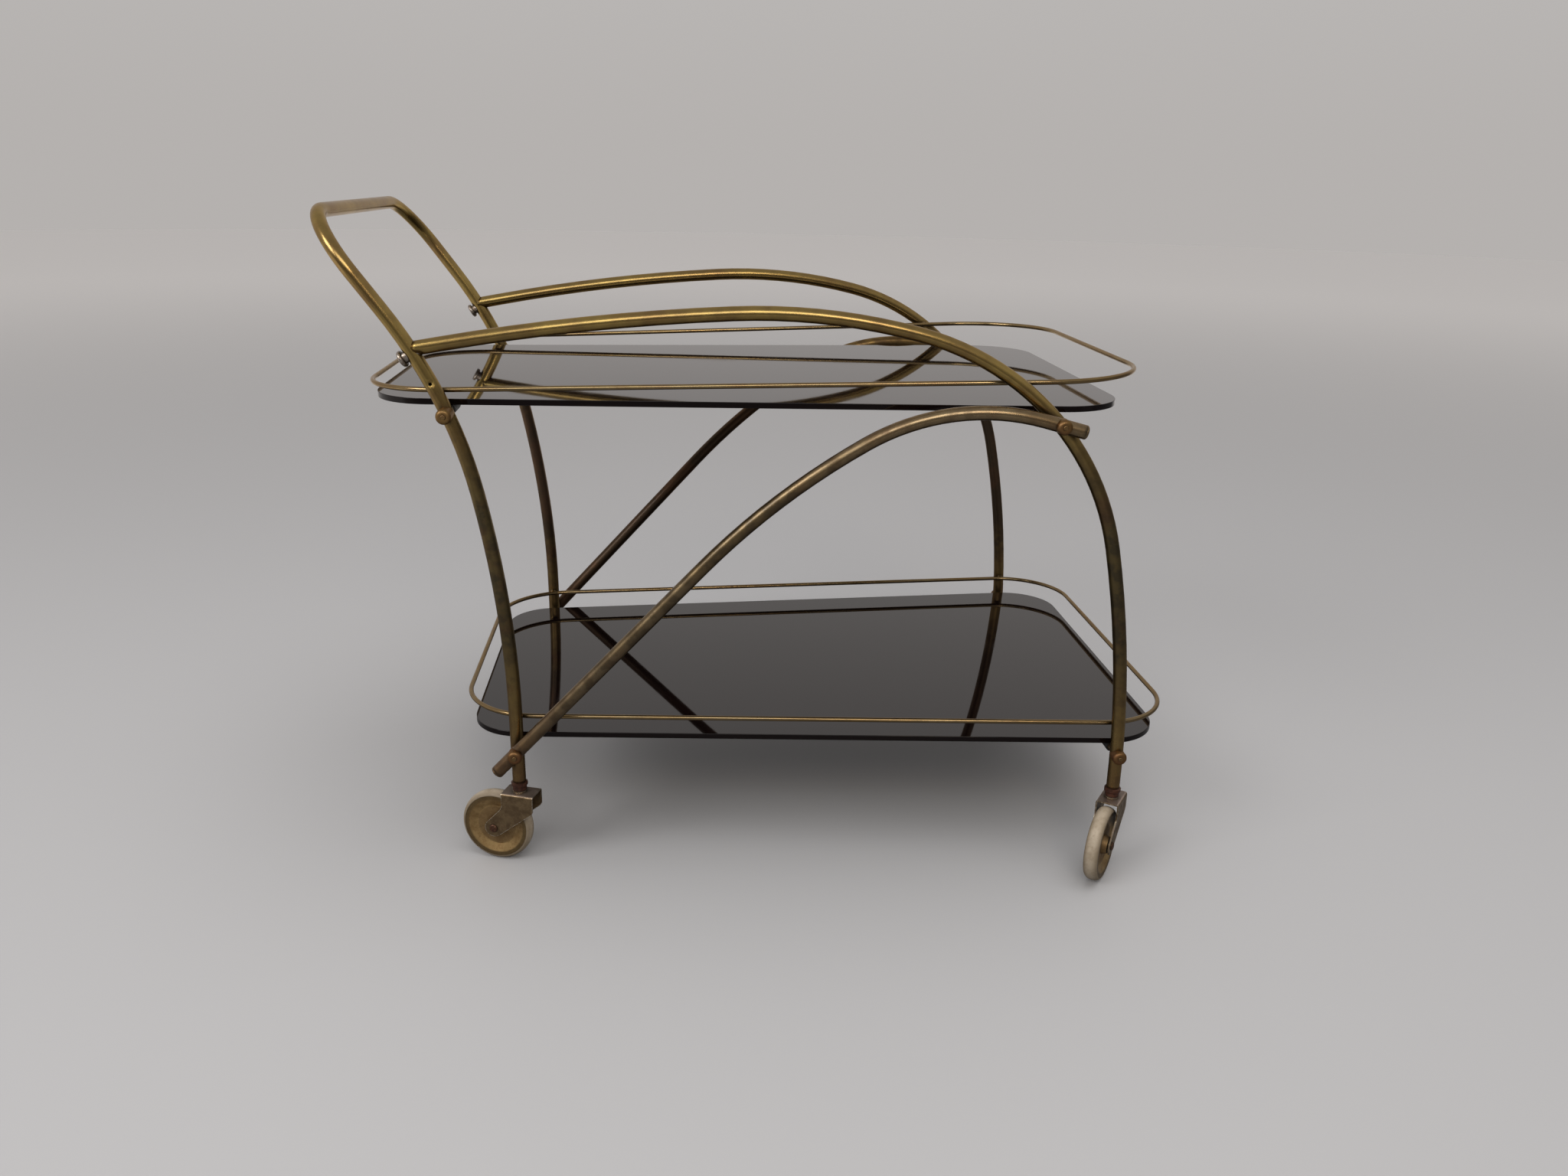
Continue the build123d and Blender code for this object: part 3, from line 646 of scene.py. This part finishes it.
def make_braze(station, side):
    """Run-out of braze between a gallery wire and a tube: a short neck that flares at the tube."""
    sign = SIDES[side]
    x, z, wire, tube = BRAZE_JOINTS[station]
    points = []
    for ring in range(BRAZE_RINGS):
        share = ring / (BRAZE_RINGS - 1)
        y = wire + share * (tube + BRAZE_SINK - wire)
        for k in range(BRAZE_SIDES):
            angle = 2 * pi * k / BRAZE_SIDES
            wobble = 1 + lobes(angle, x, *BRAZE_LUMPS) + lobes(angle, y, *BRAZE_RIPPLES)
            radius = (BRAZE_NECK + BRAZE_FLARE * share ** BRAZE_FLARE_POWER) * wobble
            points.append((x + radius * cos(angle), sign * y, z + radius * sin(angle)))
    faces = []
    for ring in range(BRAZE_RINGS - 1):
        for k in range(BRAZE_SIDES):
            a, b = ring * BRAZE_SIDES + k, ring * BRAZE_SIDES + (k + 1) % BRAZE_SIDES
            faces.append([a, b, b + BRAZE_SIDES, a + BRAZE_SIDES][::-sign])
    last = (BRAZE_RINGS - 1) * BRAZE_SIDES
    faces.append(list(range(BRAZE_SIDES))[::sign])
    faces.append(list(range(last, last + BRAZE_SIDES))[::-sign])
    braze = new_piece(f"{station}_{side}_braze", points, faces, [True] * len(faces))
    give(braze, nodes["upper_gallery"].data.materials[0])
    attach(braze, "frame")


def make_camera():
    """Camera turned by yaw from +Y toward +X, pitched down and rolled."""
    yaw, pitch, roll = (radians(a) for a in (CAMERA_YAW, CAMERA_PITCH, CAMERA_ROLL))
    level = Vector((sin(yaw), cos(yaw), 0))
    side = Vector((cos(yaw), -sin(yaw), 0))
    up = Vector((0, 0, 1))
    look = level * cos(pitch) - up * sin(pitch)
    rise = level * sin(pitch) + up * cos(pitch)
    right = side * cos(roll) + rise * sin(roll)
    top = rise * cos(roll) - side * sin(roll)
    turn = Matrix((right, top, -look)).transposed()
    data = bpy.data.cameras.new("camera")
    data.sensor_fit = "HORIZONTAL"
    data.sensor_width = SENSOR_WIDTH
    data.lens = CAMERA_LENS
    data.clip_start = CLIP_START
    camera = bpy.data.objects.new("camera", data)
    camera.matrix_world = Matrix.Translation(CAMERA_POS) @ turn.to_4x4()
    scene.collection.objects.link(camera)
    scene.camera = camera


def make_floor():
    """Pale round floor, large enough for every view; shiny pieces mirror it darker near the cart."""
    mesh = bpy.data.meshes.new("floor")
    shape = bmesh.new()
    bmesh.ops.create_circle(shape, cap_ends=True, segments=FLOOR_SEGMENTS, radius=FLOOR_RADIUS)
    shape.to_mesh(mesh)
    shape.free()
    floor = bpy.data.objects.new("floor", mesh)
    scene.collection.objects.link(floor)
    s = Shader(bpy.data.materials.new("floor_pale"))
    distance = s.length(s.place)
    shown = s.mix(s.remap(distance, *FLOOR_BLEND), FLOOR_NEAR, FLOOR_FAR)
    away = s.remap(s.dot(s.place, AWAY), *AWAY_BLEND)
    pale = s.times(s.remap(distance, *MIRROR_BLEND), away)
    lit = s.times(s.remap(s.along("Y"), *LIT_BLEND), s.remap(s.along("Y"), *LIT_END))
    mirrored = s.mix(lit, FLOOR_MIRRORED, FLOOR_LIT)
    mirrored = s.mix(pale, mirrored, FLOOR_FAR)
    eye = s.add("ShaderNodeLightPath").outputs["Is Camera Ray"]
    colour = s.mix(eye, mirrored, shown)
    mesh.materials.append(s.finish(Base_Color=colour, Roughness=FLOOR_ROUGHNESS))


def make_lights():
    """Soft studio light: a large lamp toward the handle, two behind the camera and one overhead."""
    for name, (place, aim, width, height, power, colour) in LAMPS.items():
        data = bpy.data.lights.new(name, "AREA")
        data.shape = "RECTANGLE"
        data.size = width
        data.size_y = height
        data.energy = power
        data.color = colour
        lamp = bpy.data.objects.new(name, data)
        lamp.location = place
        lamp.rotation_euler = (Vector(aim) - Vector(place)).to_track_quat("-Z", "Y").to_euler()
        lamp.visible_camera = False
        lamp.visible_glossy = name != UNMIRRORED_LAMP
        scene.collection.objects.link(lamp)


def make_surroundings():
    """Pale surroundings, palest high up; shiny pieces mirror a dim side and a duller top."""
    scene.world = bpy.data.worlds.new("studio")
    s = Shader(scene.world, "Background", "Generated")
    rise = s.along("Z")
    shown = s.mix(s.remap(rise, *HORIZON_BLEND), HORIZON_COLOUR, STUDIO_COLOUR)
    dim_side = s.mix(s.remap(rise, *ABOVE_BLEND), DIM_SIDE, ABOVE_DIM_SIDE)
    away = s.remap(s.dot(s.place, AWAY), *SIDE_BLEND)
    mirrored = s.mix(away, dim_side, STUDIO_MIRRORED)
    mirrored = s.mix(s.remap(rise, *TOP_BLEND), mirrored, DULL_TOP)
    shiny = s.add("ShaderNodeLightPath").outputs["Is Glossy Ray"]
    s.finish(Color=s.mix(shiny, shown, mirrored), Strength=STUDIO_STRENGTH)


finish_nodes()
for shelf_level in SHELVES:
    make_shelf(shelf_level)
for joint in BRAZE_JOINTS:
    for joint_side in SIDES:
        make_braze(joint, joint_side)
make_camera()
make_floor()
make_lights()
make_surroundings()
scene.view_settings.view_transform = "Standard"
